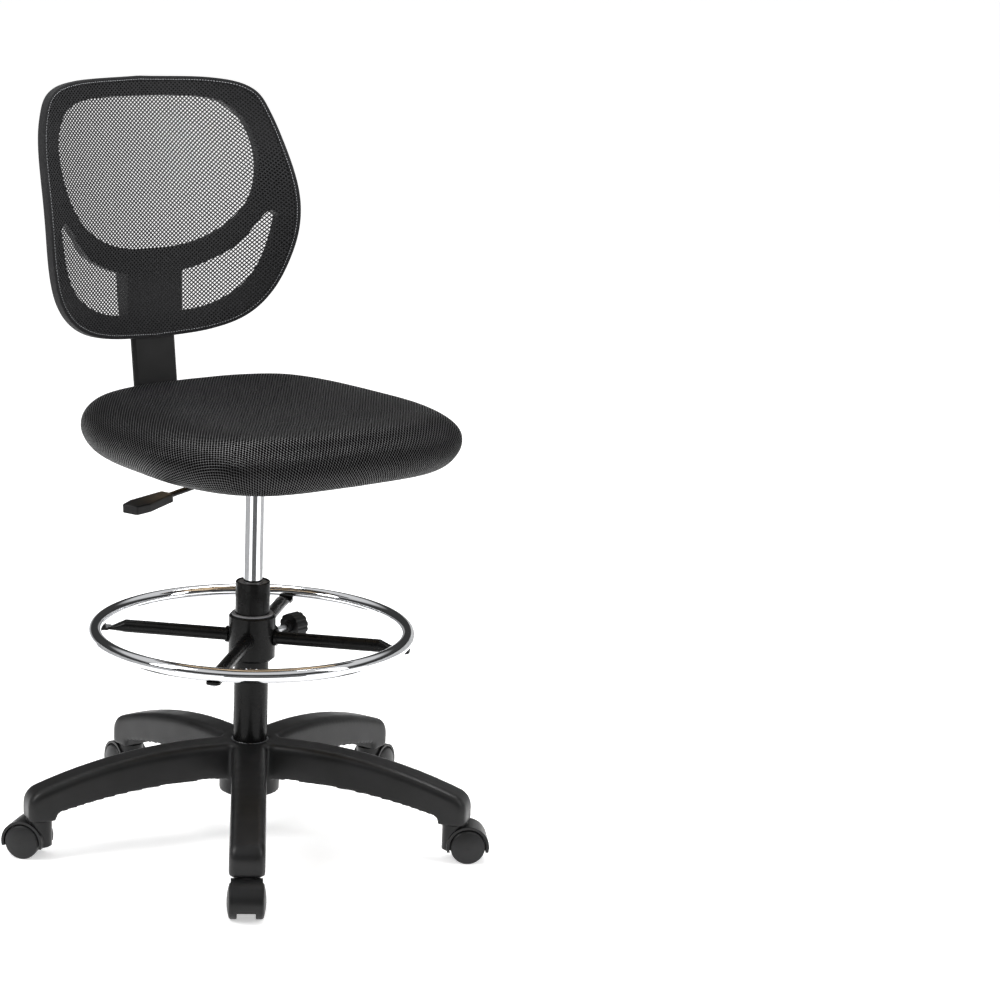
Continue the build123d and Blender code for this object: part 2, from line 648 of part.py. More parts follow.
# ================================================================== back
tilt = math.radians(BACK_TILT)
upward = Vector(0, math.sin(tilt), math.cos(tilt))
forward = Vector(0, -math.cos(tilt), math.sin(tilt))
back_origin = Vector(0, BACK_Y, BACK_Z)
back_plane = Plane(origin=back_origin, x_dir=(1, 0, 0), z_dir=forward)
outline_plane = back_plane.offset(-BACK_REACH)
curve_centre = back_origin + forward * BACK_CURVE_R
profile_plane = Plane(origin=curve_centre, x_dir=-forward, z_dir=(1, 0, 0))


def bulge(height):
    """How far the lumbar curve brings the front surface forward at one height."""
    phase = min(abs(height - LUMBAR_HEIGHT) / LUMBAR_REACH, 1.0)
    return LUMBAR_BULGE * (1 + math.cos(math.pi * phase)) / 2


def curved_layer(front, rear):
    """A saddle-shaped layer from front to rear, measured behind the back's front surface."""
    steps = [LUMBAR_HEIGHT + LUMBAR_REACH * share for share in (-1.4, -1, -0.5, 0, 0.5, 1, 1.45)]
    radii = [BACK_CURVE_R - bulge(height) for height in steps]
    with BuildPart() as layer:
        with BuildSketch(profile_plane):
            with BuildLine():
                near = Spline(*[(r + front, v) for r, v in zip(radii, steps)])
                far = Spline(*[(r + rear, v) for r, v in zip(radii, steps)])
                Line(near @ 0, far @ 0)
                Line(near @ 1, far @ 1)
            make_face()
        revolve(axis=Axis(curve_centre, upward))
    return layer.part


def back_outline(inset):
    """The back's outer outline, seen square on."""
    across = BACK_HALF_WIDTH - inset
    rise = BACK_HEIGHT - 2 * inset

    def place(x_share, y_share):
        return (across * x_share, inset + rise * y_share)

    with BuildSketch(outline_plane) as outline:
        with BuildLine():
            Spline(
                place(0, 0),
                place(0.41, 0.015),
                place(0.68, 0.062),
                place(0.86, 0.16),
                place(0.965, 0.31),
                place(1, 0.475),
                place(0.975, 0.66),
                place(0.905, 0.835),
                place(0.79, 0.94),
                place(0.52, 0.985),
                place(0, 1),
                tangents=((1, 0), (-1, 0)),
            )
            mirror(about=Plane.YZ)
        make_face()
    return outline.sketch


def upper_window():
    """The large window over the crossbar."""
    with BuildSketch(outline_plane) as window:
        with BuildLine():
            Spline(
                (0, 133),
                (90, 145.5),
                (150, 188),
                (172, 250),
                (164, 309),
                (130, 345),
                (70, 356),
                (0, 357.5),
                tangents=((1, 0), (-1, 0)),
            )
            mirror(about=Plane.YZ)
        make_face()
    return window.sketch


def lower_windows():
    """The two windows between the crossbar, the stem and the lower band."""
    with BuildSketch(outline_plane) as windows:
        with BuildLine():
            under = Spline(
                (STEM_HALF + 1, 38.5),
                (109, 47),
                (158, 80),
                (182, 132),
                (190, 170),
            )
            over = Spline(under @ 1, (185, 177), (150, 147), (93, 110), (STEM_HALF + 1, 98))
            Line(over @ 1, under @ 0)
        make_face()
        mirror(about=Plane.YZ)
    return windows.sketch


with BuildPart() as back_frame:
    add(curved_layer(0, FRAME_THICKNESS))
    extrude(back_outline(PIPING + GAP), amount=2 * BACK_REACH, dir=forward, mode=Mode.INTERSECT)
    with BuildSketch(back_plane.offset(-2)):
        with Locations((0, 4)):
            Rectangle(2 * STEM_HALF, STEM_BOSS_HEIGHT, align=(Align.CENTER, Align.MIN))
    extrude(amount=-STEM_BOSS_DEPTH + 2)
    extrude(upper_window(), amount=2 * BACK_REACH, dir=forward, mode=Mode.SUBTRACT)
    extrude(lower_windows(), amount=2 * BACK_REACH, dir=forward, mode=Mode.SUBTRACT)
    with BuildSketch(back_plane.offset(FIT - SLEEVE_DEPTH)):
        with Locations((0, SLEEVE_HIGH + FIT)):
            Rectangle(2 * SLEEVE_HALF + 2 * FIT, 2 * SLEEVE_HIGH, align=(Align.CENTER, Align.MAX))
    extrude(amount=-SLEEVE_THICKNESS - 2 * FIT, mode=Mode.SUBTRACT)
    bar_front = SLEEVE_DEPTH + (SLEEVE_THICKNESS - BAR_THICKNESS) / 2
    with BuildSketch(back_plane.offset(FIT - bar_front)):
        with Locations((0, BAR_HIGH + FIT)):
            Rectangle(BAR_WIDTH + 2 * FIT, 2 * BAR_HIGH, align=(Align.CENTER, Align.MAX))
    extrude(amount=-BAR_THICKNESS - 2 * FIT, mode=Mode.SUBTRACT)
    for height in BACK_SCREW_HEIGHTS:
        with BuildSketch(back_plane.offset(-STEM_BOSS_DEPTH)):
            with Locations((BACK_SCREW_X, height), (-BACK_SCREW_X, height)):
                Circle(BACK_SCREW_R + FIT)
        extrude(amount=STEM_BOSS_DEPTH - bar_front, mode=Mode.SUBTRACT)
save(back_frame, "back_frame")

with BuildPart() as back_piping:
    add(curved_layer(-2, FRAME_THICKNESS + 1))
    extrude(back_outline(0), amount=2 * BACK_REACH, dir=forward, mode=Mode.INTERSECT)
    extrude(back_outline(PIPING), amount=2 * BACK_REACH, dir=forward, mode=Mode.SUBTRACT)
    with BuildSketch(back_plane.offset(FIT - SLEEVE_DEPTH)):
        Rectangle(2 * STEM_HALF + 2 * FIT, 8 * PIPING)
    extrude(amount=-BACK_REACH, mode=Mode.SUBTRACT)
save(back_piping, "back_piping")

with BuildPart() as back_net:
    add(curved_layer(-GAP - NET_THICKNESS, -GAP))
    extrude(back_outline(PIPING + GAP), amount=2 * BACK_REACH, dir=forward, mode=Mode.INTERSECT)
save(back_net, "back_net")

# The bar's middle line runs from under the seat plate and then up inside the back.
bar_middle = SLEEVE_DEPTH + SLEEVE_THICKNESS / 2
bar_level = PLATE_BOTTOM - BAR_THICKNESS / 2
bar_top = back_origin + upward * BAR_HIGH - forward * bar_middle
bar_root = back_origin - forward * bar_middle
bar_root = bar_root + upward * ((bar_level - bar_root.Z) / upward.Z)
with BuildPart() as back_bar:
    with BuildSketch(Plane.YZ):
        with BuildLine():
            FilletPolyline(
                (BAR_START, bar_level),
                (bar_root.Y, bar_level),
                (bar_top.Y, bar_top.Z),
                radius=BAR_BEND_R,
            )
        trace(line_width=BAR_THICKNESS)
    extrude(amount=BAR_WIDTH / 2, both=True)
    with Locations((0, 0, bar_level)):
        with Locations(*BAR_BOLT_SPOTS):
            Cylinder(BOLT_R + FIT, 2 * BAR_THICKNESS, mode=Mode.SUBTRACT)
    for height in BACK_SCREW_HEIGHTS:
        with BuildSketch(back_plane.offset(-STEM_BOSS_DEPTH)):
            with Locations((BACK_SCREW_X, height), (-BACK_SCREW_X, height)):
                Circle(BACK_SCREW_R + RUN)
        extrude(amount=STEM_BOSS_DEPTH, mode=Mode.SUBTRACT)
save(back_bar, "back_bar")

with BuildPart() as bar_sleeve:
    with BuildSketch(back_plane.offset(-SLEEVE_DEPTH)):
        with Locations((0, SLEEVE_LOW)):
            Rectangle(
                2 * SLEEVE_HALF, SLEEVE_HIGH - SLEEVE_LOW, align=(Align.CENTER, Align.MIN)
            )
    extrude(amount=-SLEEVE_THICKNESS)
    chamfer(bar_sleeve.edges().filter_by(Axis(back_origin, upward)), length=SLEEVE_BEVEL)
    with BuildSketch(back_plane.offset(FIT - bar_front)):
        with Locations((0, SLEEVE_LOW - 1)):
            Rectangle(
                BAR_WIDTH + 2 * FIT, 2 * (SLEEVE_HIGH - SLEEVE_LOW), align=(Align.CENTER, Align.MIN)
            )
    extrude(amount=-BAR_THICKNESS - 2 * FIT, mode=Mode.SUBTRACT)
save(bar_sleeve, "bar_sleeve")

with BuildPart() as bar_bolts:
    with Locations((0, 0, PLATE_BOTTOM - BAR_THICKNESS)):
        with Locations(*BAR_BOLT_SPOTS):
            Cylinder(BOLT_HEAD_R, BOLT_HEAD, align=DOWN)
            Cylinder(BOLT_R, BAR_THICKNESS + PLATE_THICKNESS + BOARD_THICKNESS - 1, align=UP)
save(bar_bolts, "bar_bolts")

with BuildPart() as back_screws:
    for height in BACK_SCREW_HEIGHTS:
        with BuildSketch(back_plane.offset(-STEM_BOSS_DEPTH)):
            with Locations((BACK_SCREW_X, height), (-BACK_SCREW_X, height)):
                Circle(BACK_SCREW_HEAD_R)
        extrude(amount=-3)
        with BuildSketch(back_plane.offset(-STEM_BOSS_DEPTH)):
            with Locations((BACK_SCREW_X, height), (-BACK_SCREW_X, height)):
                Circle(BACK_SCREW_R)
        extrude(amount=STEM_BOSS_DEPTH - bar_front - FIT)
save(back_screws, "back_screws")

# ================================================================== casters
# One caster is drawn with its stem on the Z axis and its wheels trailing towards +X.
WHEEL_INNER = WEB_WIDTH / 2 + GAP
AXLE_HALF = WHEEL_INNER + AXLE_IN_WHEEL
HOUSING_TOP = SOCKET_BOTTOM - GAP
STEM_BOTTOM = SOCKET_BOTTOM + SOCKET_DEPTH - 1 - STEM_LENGTH
axle_plane = Plane(origin=(CASTER_TRAIL, 0, WHEEL_R), x_dir=(1, 0, 0), z_dir=(0, -1, 0))

with BuildPart() as caster_stem:
    with Locations((0, 0, STEM_BOTTOM)):
        Cylinder(STEM_R, STEM_LENGTH, align=UP)
    chamfer(caster_stem.edges().group_by(Axis.Z)[-1], length=1)

with BuildPart() as caster_body:
    with BuildSketch(axle_plane):
        Circle(HOOD_R)
    extrude(amount=HOOD_WIDTH / 2, both=True)
    with Locations((0, 0, 0)):
        Cylinder(HOUSING_R, HOUSING_TOP, align=UP)
    fillet(caster_body.edges().group_by(Axis.Z)[-1], radius=2)
    for side in (1, -1):
        with BuildSketch(axle_plane.offset(side * WEB_WIDTH / 2)):
            Circle(WHEEL_R + HOOD_SPACE)
        extrude(amount=side * HOOD_WIDTH, mode=Mode.SUBTRACT)
    with BuildSketch(axle_plane.offset(-HOOD_WIDTH)):
        with Locations((0, HOUSING_BOTTOM - WHEEL_R)):
            Rectangle(4 * HOOD_R, 4 * HOOD_R, align=(Align.CENTER, Align.MAX))
    extrude(amount=2 * HOOD_WIDTH, mode=Mode.SUBTRACT)
    with BuildSketch(axle_plane.offset(-HOOD_WIDTH)):
        Circle(AXLE_R + RUN)
    extrude(amount=2 * HOOD_WIDTH, mode=Mode.SUBTRACT)
    with Locations((0, 0, STEM_BOTTOM - RUN)):
        Cylinder(STEM_R + RUN, STEM_LENGTH, align=UP, mode=Mode.SUBTRACT)

with BuildPart() as caster_axle:
    with BuildSketch(axle_plane):
        Circle(AXLE_R)
    extrude(amount=AXLE_HALF, both=True)

bore_wall = CASTER_TRAIL + AXLE_R + RUN
bore_end = AXLE_HALF + GAP
tread = CASTER_TRAIL + WHEEL_R
with BuildPart() as caster_wheel:
    with BuildSketch(Plane.XY.offset(WHEEL_R)):
        with BuildLine():
            side = Polyline(
                (CASTER_TRAIL, bore_end),
                (bore_wall, bore_end),
                (bore_wall, WHEEL_INNER + 1),
                (CASTER_TRAIL + 10, WHEEL_INNER + 1),
                (CASTER_TRAIL + 10, WHEEL_INNER),
                (tread - 1, WHEEL_INNER),
                (tread, WHEEL_INNER + 1),
                (tread, WHEEL_INNER + WHEEL_TREAD_WIDTH - 2),
                (tread - 1.6, WHEEL_INNER + WHEEL_TREAD_WIDTH),
            )
            dome = TangentArc(
                (CASTER_TRAIL, WHEEL_INNER + WHEEL_WIDTH),
                side @ 1,
                tangent=(1, 0),
            )
            Line(dome @ 0, side @ 0)
        make_face()
    revolve(axis=Axis((CASTER_TRAIL, 0, WHEEL_R), (0, 1, 0)))

with BuildPart() as far_wheel:
    mirror(caster_wheel.part, about=Plane.XZ)

for number, heading in enumerate(CASTER_HEADINGS, start=1):
    leg_angle = math.radians(LEG_START + (number - 1) * 360 / LEG_COUNT)
    spot = Location(
        (STEM_CIRCLE_R * math.cos(leg_angle), STEM_CIRCLE_R * math.sin(leg_angle), 0),
        (0, 0, heading),
    )
    pieces = {
        "caster_stem": caster_stem,
        "caster_body": caster_body,
        "caster_axle": caster_axle,
        "wheel_left": caster_wheel,
        "wheel_right": far_wheel,
    }
    for name, piece in pieces.items():
        with BuildPart() as placed:
            with Locations(spot):
                add(piece.part)
        save(placed, f"{name}_{number}")
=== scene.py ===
import json
import math
import random

import bpy
import numpy as np
from mathutils import Matrix, Vector


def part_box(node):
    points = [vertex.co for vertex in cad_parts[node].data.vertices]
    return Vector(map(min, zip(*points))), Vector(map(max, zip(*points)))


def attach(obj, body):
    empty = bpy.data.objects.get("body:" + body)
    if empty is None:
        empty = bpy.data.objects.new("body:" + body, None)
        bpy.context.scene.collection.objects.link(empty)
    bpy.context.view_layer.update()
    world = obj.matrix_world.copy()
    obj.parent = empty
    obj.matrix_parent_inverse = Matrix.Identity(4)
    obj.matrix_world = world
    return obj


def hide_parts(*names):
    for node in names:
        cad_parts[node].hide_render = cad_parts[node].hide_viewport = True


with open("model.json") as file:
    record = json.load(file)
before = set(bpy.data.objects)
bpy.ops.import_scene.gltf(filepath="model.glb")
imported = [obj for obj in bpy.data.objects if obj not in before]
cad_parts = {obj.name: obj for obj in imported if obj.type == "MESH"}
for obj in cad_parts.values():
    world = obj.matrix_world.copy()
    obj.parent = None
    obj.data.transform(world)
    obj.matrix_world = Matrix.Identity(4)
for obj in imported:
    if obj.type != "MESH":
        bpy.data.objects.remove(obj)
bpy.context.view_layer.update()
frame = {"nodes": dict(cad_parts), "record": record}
nodes = frame["nodes"]
random.seed(7)
MM = 0.001


# ------------------------------------------------------------------ camera
CAMERA_PLACE = (-2.304, -3.184, 1.438)
CAMERA_AZIMUTH = math.radians(41.04)  # of the line of sight, clockwise from +Y seen from above
CAMERA_PITCH = math.radians(13.17)  # downwards
CAMERA_ROLL = math.radians(2.26)
CAMERA_LENS = 100.7
CAMERA_SENSOR = 36


def make_camera():
    """A long lens at standing height, in front of the chair and to its lever side."""
    ahead = Vector((math.sin(CAMERA_AZIMUTH), math.cos(CAMERA_AZIMUTH), 0))
    forward = math.cos(CAMERA_PITCH) * ahead - Vector((0, 0, math.sin(CAMERA_PITCH)))
    level = Vector((math.cos(CAMERA_AZIMUTH), -math.sin(CAMERA_AZIMUTH), 0))
    above = level.cross(forward)
    right = math.cos(CAMERA_ROLL) * level + math.sin(CAMERA_ROLL) * above
    up = math.cos(CAMERA_ROLL) * above - math.sin(CAMERA_ROLL) * level
    turn = Matrix((right, up, -forward)).transposed()
    camera = bpy.data.objects.new("camera", bpy.data.cameras.new("camera"))
    camera.matrix_world = Matrix.Translation(CAMERA_PLACE) @ turn.to_4x4()
    camera.data.lens = CAMERA_LENS
    camera.data.sensor_width = CAMERA_SENSOR
    camera.data.clip_end = 60
    bpy.context.scene.collection.objects.link(camera)
    bpy.context.scene.camera = camera


make_camera()


# ------------------------------------------------------------------ materials
class Surface:
    """A node material that is built up one effect at a time."""

    def __init__(self, name, colour, roughness, **inputs):
        self.material = bpy.data.materials.new(name)
        self.material.use_nodes = True
        self.tree = self.material.node_tree
        self.shader = self.tree.nodes["Principled BSDF"]
        self.shader.inputs["Base Color"].default_value = (*colour, 1)
        self.shader.inputs["Roughness"].default_value = roughness
        for key, value in inputs.items():
            self.shader.inputs[key.replace("_", " ")].default_value = value
        self.normal = None
        place = self.node("ShaderNodeTexCoord")
        self.place = place.outputs["Object"]

    def node(self, kind, inputs=None, **settings):
        """Adds a node, links sockets given as inputs and sets numbers given as inputs."""
        made = self.tree.nodes.new(kind)
        for key, value in settings.items():
            setattr(made, key, value)
        for key, value in (inputs or {}).items():
            if isinstance(value, bpy.types.NodeSocket):
                self.tree.links.new(value, made.inputs[key])
            else:
                made.inputs[key].default_value = value
        return made

    def math(self, operation, *values):
        return self.node("ShaderNodeMath", dict(enumerate(values)), operation=operation).outputs[0]

    def noise(self, scale, detail=3.0, vector=None):
        made = self.node(
            "ShaderNodeTexNoise",
            {"Vector": vector or self.place, "Scale": scale, "Detail": detail},
        )
        return made.outputs["Fac"]

    def spread(self, value, low, high, start=0.3, end=0.7):
        """Maps a value that runs from start to end onto low to high."""
        made = self.node(
            "ShaderNodeMapRange",
            {"Value": value, "From Min": start, "From Max": end, "To Min": low, "To Max": high},
        )
        return made.outputs[0]

    def mottle(self, first, second, scale, start=0.35, end=0.65):
        """Colour that drifts between two shades."""
        mix = self.node(
            "ShaderNodeMix",
            {0: self.spread(self.noise(scale), 0, 1, start, end), 6: (*first, 1), 7: (*second, 1)},
            data_type="RGBA",
        )
        self.tree.links.new(mix.outputs[2], self.shader.inputs["Base Color"])

    def uneven(self, low, high, scale):
        """Roughness that varies over the surface."""
        value = self.spread(self.noise(scale, 4.0), low, high)
        self.tree.links.new(value, self.shader.inputs["Roughness"])

    def soft_edges(self, radius):
        """Rounds hard edges in the shading, as moulding and paint do."""
        bevel = self.node("ShaderNodeBevel", {"Radius": radius}, samples=4)
        self.normal = bevel.outputs[0]

    def bump(self, height, depth, strength=1.0):
        """Adds relief: height from 0 to 1 stands for this depth in metres."""
        made = self.node(
            "ShaderNodeBump", {"Height": height, "Distance": depth, "Strength": strength}
        )
        if self.normal:
            self.tree.links.new(self.normal, made.inputs["Normal"])
        self.normal = made.outputs[0]

    def done(self):
        if self.normal:
            self.tree.links.new(self.normal, self.shader.inputs["Normal"])
        return self.material


def moulded(name, shade, roughness, grain, edge=0.6 * MM):
    """Moulded plastic with a fine spark-eroded grain."""
    surface = Surface(name, (shade, shade, shade * 1.06), roughness, Specular_IOR_Level=0.27)
    surface.mottle((shade * 0.8,) * 3, (shade * 1.2, shade * 1.2, shade * 1.27), 14)
    surface.uneven(roughness - 0.05, roughness + 0.06, 30)
    surface.soft_edges(edge)
    surface.bump(surface.noise(1 / grain, 2.0), 0.12 * grain, 0.5)
    return surface.done()


def enamel():
    """Semi-gloss black powder coat with slight orange peel."""
    surface = Surface("black_enamel", (0.005, 0.005, 0.005), 0.28, Coat_Weight=0.05, Specular_IOR_Level=0.10)
    surface.shader.inputs["Coat Roughness"].default_value = 0.12
    surface.mottle((0.003, 0.003, 0.003), (0.006, 0.006, 0.006), 20)
    surface.uneven(0.22, 0.32, 45)
    surface.soft_edges(0.7 * MM)
    surface.bump(surface.noise(420, 1.0), 0.05 * MM, 0.35)
    return surface.done()


def chrome():
    """Bright plating: almost a mirror, with faint haze."""
    surface = Surface("chrome", (0.78, 0.79, 0.81), 0.06, Metallic=1.0)
    surface.uneven(0.045, 0.10, 60)
    surface.bump(surface.noise(160, 2.0), 0.02 * MM, 0.15)
    return surface.done()


def zinc():
    """Zinc-plated steel with faint turning marks."""
    surface = Surface("bare_steel", (0.50, 0.51, 0.53), 0.32, Metallic=1.0)
    surface.mottle((0.42, 0.43, 0.45), (0.56, 0.57, 0.58), 90)
    surface.uneven(0.24, 0.42, 120)
    surface.soft_edges(0.4 * MM)
    surface.bump(surface.noise(900, 2.0), 0.03 * MM, 0.3)
    return surface.done()


def rubber():
    surface = Surface("black_rubber", (0.012, 0.012, 0.012), 0.75)
    surface.mottle((0.010, 0.010, 0.010), (0.016, 0.016, 0.015), 60)
    surface.bump(surface.noise(1200, 2.0), 0.05 * MM, 0.4)
    return surface.done()


def foam():
    """Open-cell polyurethane foam."""
    surface = Surface("foam", (0.55, 0.52, 0.44), 0.9)
    cells = surface.node(
        "ShaderNodeTexVoronoi", {"Vector": surface.place, "Scale": 700}
    ).outputs["Distance"]
    surface.mottle((0.50, 0.46, 0.37), (0.60, 0.57, 0.49), 25)
    surface.bump(cells, 0.4 * MM, 0.6)
    return surface.done()


def plywood():
    """Birch ply: long soft grain on the faces."""
    surface = Surface("plywood", (0.52, 0.38, 0.23), 0.6)
    stretched = surface.node(
        "ShaderNodeMapping", {"Vector": surface.place, "Scale": (60, 3, 200)}
    ).outputs[0]
    grain = surface.noise(1.5, 6.0, stretched)
    mix = surface.node(
        "ShaderNodeMix",
        {0: surface.spread(grain, 0, 1), 6: (0.42, 0.29, 0.16, 1), 7: (0.62, 0.47, 0.30, 1)},
        data_type="RGBA",
    )
    surface.tree.links.new(mix.outputs[2], surface.shader.inputs["Base Color"])
    surface.bump(grain, 0.15 * MM, 0.4)
    return surface.done()


def lattice(surface, half_across, half_along):
    """0 in the middle of a hole and 1 on the threads of a diamond lattice, on the stored cloth places."""
    cloth = surface.node("ShaderNodeAttribute", attribute_name="cloth").outputs["Vector"]
    parts = surface.node("ShaderNodeSeparateXYZ", {0: cloth}).outputs
    across = surface.math("MULTIPLY", parts[0], math.pi / (2 * half_across))
    along = surface.math("MULTIPLY", parts[1], math.pi / (2 * half_along))
    rising = surface.math("COSINE", surface.math("ADD", across, along))
    falling = surface.math("COSINE", surface.math("SUBTRACT", across, along))
    hole = surface.math("ABSOLUTE", surface.math("MULTIPLY", rising, falling))
    return surface.math("SUBTRACT", 1.0, hole)


FABRIC_HALF_ACROSS = 2.5 * MM
FABRIC_HALF_ALONG = 3.1 * MM


def seat_fabric():
    """Black spacer mesh: a knitted diamond lattice of threads over a dark backing."""
    surface = Surface("seat_fabric", (0.008, 0.008, 0.009), 0.6, Sheen_Weight=0.0, Specular_IOR_Level=0.35)
    surface.shader.inputs["Sheen Roughness"].default_value = 0.3
    thread = lattice(surface, FABRIC_HALF_ACROSS, FABRIC_HALF_ALONG)
    strand = surface.node(
        "ShaderNodeTexWave",
        {"Vector": surface.place, "Scale": 600, "Distortion": 3.0, "Detail": 1.0},
    ).outputs["Fac"]
    sharp = surface.math("POWER", thread, 5.0)
    shade = surface.math("MULTIPLY", sharp, surface.spread(strand, 0.7, 1.0, 0, 1))
    mix = surface.node(
        "ShaderNodeMix",
        {0: shade, 6: (0.0006, 0.0006, 0.0006, 1), 7: (0.020, 0.020, 0.0212, 1)},
        data_type="RGBA",
    )
    surface.tree.links.new(mix.outputs[2], surface.shader.inputs["Base Color"])
    surface.tree.links.new(surface.spread(thread, 0.95, 0.30, 0, 1), surface.shader.inputs["Roughness"])
    gloss = surface.spread(sharp, 0.0, 1.0, 0, 1)
    surface.tree.links.new(gloss, surface.shader.inputs["Specular IOR Level"])
    surface.bump(surface.noise(5000, 1.0), 0.05 * MM, 0.3)
    surface.bump(thread, 0.9 * MM, 0.8)
    return surface.done()


def net_thread():
    """Twisted polyester thread."""
    surface = Surface("back_net", (0.011, 0.011, 0.012), 0.5, Sheen_Weight=0.03, Specular_IOR_Level=0.3)
    surface.mottle((0.010, 0.010, 0.011), (0.026, 0.026, 0.028), 500)
    twist = surface.node(
        "ShaderNodeTexWave",
        {"Vector": surface.place, "Scale": 900, "Distortion": 2.0, "Detail": 1.0},
        bands_direction="DIAGONAL",
    ).outputs["Fac"]
    surface.bump(twist, 0.08 * MM, 0.6)
    return surface.done()


def tape():
    """Narrow woven edge tape."""
    surface = Surface("edge_binding", (0.009, 0.009, 0.010), 0.75, Sheen_Weight=0.03, Specular_IOR_Level=0.25)
    surface.mottle((0.006, 0.006, 0.007), (0.014, 0.014, 0.015), 300)
    weave = surface.node(
        "ShaderNodeTexVoronoi", {"Vector": surface.place, "Scale": 1100, "Randomness": 0.3}
    ).outputs["Distance"]
    surface.bump(weave, 0.15 * MM, 0.6)
    return surface.done()


def sewing_thread():
    surface = Surface("stitches", (0.45, 0.46, 0.48), 0.5, Sheen_Weight=0.3)
    surface.mottle((0.34, 0.35, 0.37), (0.55, 0.56, 0.58), 400)
    return surface.done()


looks = {
    "black_nylon": moulded("black_nylon", 0.009, 0.38, 0.7 * MM, 1.0 * MM),
    "caster_nylon": moulded("caster_nylon", 0.009, 0.34, 0.7 * MM),
    "caster_wheel": moulded("caster_wheel", 0.012, 0.40, 0.6 * MM),
    "black_moulding": moulded("black_moulding", 0.006, 0.46, 0.8 * MM),
    "black_enamel": enamel(),
    "chrome": chrome(),
    "bare_steel": zinc(),
    "grey_acetal": moulded("grey_acetal", 0.16, 0.38, 1.0 * MM),
    "black_rubber": rubber(),
    "plywood": plywood(),
    "foam": foam(),
    "seat_fabric": seat_fabric(),
    "back_net": net_thread(),
    "edge_binding": tape(),
    "stitches": sewing_thread(),
}

for part in frame["record"]["subparts"]:
    node = nodes[part["node"]]
    node.data.materials.clear()
    node.data.materials.append(looks[part["material_slot"]])


# ------------------------------------------------------------------ making pieces
def piece(name, mesh, body, slot, smooth=True):
    """Links a new mesh as a piece of the chair."""
    made = bpy.data.objects.new(name, mesh)
    bpy.context.scene.collection.objects.link(made)
    made.data.materials.clear()
    made.data.materials.append(looks[slot])
    if smooth:
        made.data.shade_smooth()
    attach(made, body)
    return made


def mesh_from(name, points, faces):
    mesh = bpy.data.meshes.new(name)
    mesh.from_pydata([tuple(p) for p in points], [], [tuple(int(i) for i in f) for f in faces])
    mesh.update()
    return mesh


def grid_faces(rows, columns, closed_rows=False, closed_columns=False):
    """Faces of a grid of points stored row by row."""
    faces = []
    for i in range(rows if closed_rows else rows - 1):
        for j in range(columns if closed_columns else columns - 1):
            k, m = (i + 1) % rows, (j + 1) % columns
            faces.append((i * columns + j, i * columns + m, k * columns + m, k * columns + j))
    return faces


def apply_modifiers(thing):
    """Bakes an object's modifiers into its mesh."""
    graph = bpy.context.evaluated_depsgraph_get()
    graph.update()
    baked = bpy.data.meshes.new_from_object(thing.evaluated_get(graph))
    thing.modifiers.clear()
    thing.data = baked


def smooth_curve(points, count):
    """Points evenly spaced in parameter along a Catmull-Rom curve through the given ones."""
    points = np.array(points, float)
    before, after = 2 * points[0] - points[1], 2 * points[-1] - points[-2]
    padded = np.vstack([before, points, after])
    t = np.linspace(0, len(points) - 1, count)
    i = np.minimum(t.astype(int), len(points) - 2)
    f = (t - i)[:, None]
    a, b, c, d = padded[i], padded[i + 1], padded[i + 2], padded[i + 3]
    return 0.5 * (2 * b + (c - a) * f + (2 * a - 5 * b + 4 * c - d) * f**2 + (3 * b - a - 3 * c + d) * f**3)


def even_steps(line, step, closed=False):
    """Points a fixed distance apart along a polyline."""
    line = np.array(line, float)
    if closed:
        line = np.vstack([line, line[:1]])
    run = np.concatenate([[0], np.cumsum(np.linalg.norm(np.diff(line, axis=0), axis=1))])
    count = max(2, round(run[-1] / step))
    marks = np.linspace(0, run[-1], count + 1)[: count if closed else None]
    return np.stack([np.interp(marks, run, line[:, k]) for k in range(line.shape[1])], 1)


# ------------------------------------------------------------------ seat
SEAT_HALF_WIDTH = 241 * MM
SEAT_HALF_DEPTH = 236 * MM
SEAT_MIDDLE = -24 * MM
SEAT_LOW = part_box("seat_cover")[0].z
SEAT_CELLS = 110
SWELL = 3 * MM  # how far the pressure of the foam may lift the cloth
SWELL_FRAMES = 20
COVER_THICKNESS = 1.2 * MM
DISH = 8 * MM  # hollow of the middle of the seat
TROUGH = 3.5 * MM  # cross dip behind the front roll
FRONT_FALL = 2 * MM
REAR_RISE = 6 * MM
FRONT_LIP = 7 * MM  # how far the front edge hangs below the rest of the hem
SEAT_SECTION = (
    (250, 82), (180, 82), (110, 82), (66, 80), (42, 76), (20, 67), (6, 55),
    (1, 43), (2, 29), (10, 14), (21, 5), (32, 0), (56, 0), (74, 0),
)
SEAT_SHARES = (
    (0, -1), (0.50, -0.97), (0.84, -0.83), (0.99, -0.46), (1, 0),
    (0.95, 0.46), (0.76, 0.82), (0.42, 0.97), (0, 1),
)


def seat_outline():
    """The seat's widest outline as distance from its middle for each direction."""
    right = smooth_curve(SEAT_SHARES, 400)
    left = right[::-1] * (-1, 1)
    loop = np.vstack([right, left[1:-1]]) * (SEAT_HALF_WIDTH, SEAT_HALF_DEPTH)
    angle = np.unwrap(np.arctan2(loop[:, 1], loop[:, 0]))
    reach = np.hypot(loop[:, 0], loop[:, 1])
    order = np.argsort(angle)
    return angle[order], reach[order]


outline_angle, outline_reach = seat_outline()


def reach_at(angle):
    return np.interp(angle, outline_angle, outline_reach, period=2 * math.pi)


def smoothstep(low, high, value):
    t = np.clip((value - low) / (high - low), 0, 1)
    return t * t * (3 - 2 * t)


def seat_profile():
    """From the middle of the top over the edge to the hem: inset from the outline, height and cloth run."""
    line = even_steps(smooth_curve(SEAT_SECTION, 400), 1.0) * MM
    run = np.concatenate([[0], np.cumsum(np.linalg.norm(np.diff(line, axis=0), axis=1))])
    return line, run


